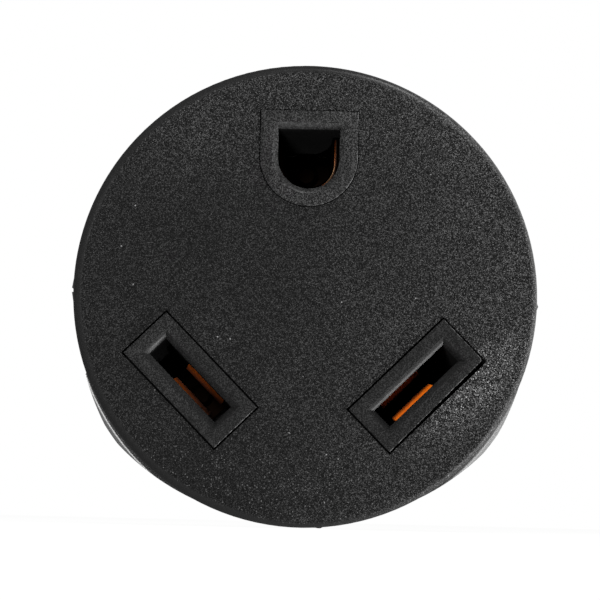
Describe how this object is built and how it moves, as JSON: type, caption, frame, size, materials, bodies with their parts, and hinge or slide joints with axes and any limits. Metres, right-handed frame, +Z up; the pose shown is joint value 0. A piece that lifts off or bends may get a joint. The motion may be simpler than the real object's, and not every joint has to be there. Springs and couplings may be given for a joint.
{
  "type": "plug adapter",
  "caption": "Round moulded power adapter: a travel-trailer socket face with sprung contacts in front, a scooped finger grip, and a grounded household plug behind.",
  "frame": {"origin": "middle of the rear face that seats on the wall outlet", "axes": "+Y out of the rear face along the plug prongs, -Y out of the socket face, +Z up with the ground opening on top, +X to the right as the socket face is seen"},
  "size_m": [0.054, 0.0608, 0.054],
  "materials": {
    "jacket_vinyl": "fine grain",
    "carrier_plastic": "satin",
    "cover_plastic": "satin",
    "bridge_plastic": "satin",
    "contact_copper": "bare rolled copper alloy",
    "strap_brass": "bare rolled brass",
    "prong_brass": "polished brass",
    "rivet_brass": "satin brass"
  },
  "bodies": {
    "adapter": {"jacket": "jacket_vinyl", "contact_carrier": "carrier_plastic", "carrier_cover": "cover_plastic", "plug_bridge": "bridge_plastic", "line_clip": "contact_copper", "line_strap": "strap_brass", "line_blade": "prong_brass", "neutral_clip": "contact_copper", "neutral_strap": "strap_brass", "neutral_blade": "prong_brass", "ground_clip": "contact_copper", "ground_strap": "strap_brass", "ground_pin": "prong_brass", "clip_rivets": "rivet_brass", "blade_rivets": "rivet_brass"},
    "line_inner": {"line_leaf_inner": "contact_copper"},
    "line_outer": {"line_leaf_outer": "contact_copper"},
    "neutral_inner": {"neutral_leaf_inner": "contact_copper"},
    "neutral_outer": {"neutral_leaf_outer": "contact_copper"},
    "ground_left": {"ground_leaf_left": "contact_copper"},
    "ground_right": {"ground_leaf_right": "contact_copper"}
  },
  "joints": [
    {"name": "line_inner_flex", "type": "hinge", "parent": "adapter", "child": "line_inner", "pos_m": [-0.01066, -0.0221, -0.00949], "axis": [-0.7071, 0, 0.7071], "range_deg": [0, 2.5], "stiffness_Nm_per_rad": 2},
    {"name": "line_outer_flex", "type": "hinge", "parent": "adapter", "child": "line_outer", "pos_m": [-0.01391, -0.0221, -0.01274], "axis": [0.7071, 0, -0.7071], "range_deg": [0, 2.5], "stiffness_Nm_per_rad": 2},
    {"name": "neutral_inner_flex", "type": "hinge", "parent": "adapter", "child": "neutral_inner", "pos_m": [0.01066, -0.0221, -0.00949], "axis": [-0.7071, 0, -0.7071], "range_deg": [0, 2.5], "stiffness_Nm_per_rad": 2},
    {"name": "neutral_outer_flex", "type": "hinge", "parent": "adapter", "child": "neutral_outer", "pos_m": [0.01391, -0.0221, -0.01274], "axis": [0.7071, 0, 0.7071], "range_deg": [0, 2.5], "stiffness_Nm_per_rad": 2},
    {"name": "ground_right_flex", "type": "hinge", "parent": "adapter", "child": "ground_right", "pos_m": [0.00315, -0.0221, 0.0175], "axis": [0, 0, 1], "range_deg": [0, 2.5], "stiffness_Nm_per_rad": 2},
    {"name": "ground_left_flex", "type": "hinge", "parent": "adapter", "child": "ground_left", "pos_m": [-0.00315, -0.0221, 0.0175], "axis": [0, 0, -1], "range_deg": [0, 2.5], "stiffness_Nm_per_rad": 2}
  ]
}
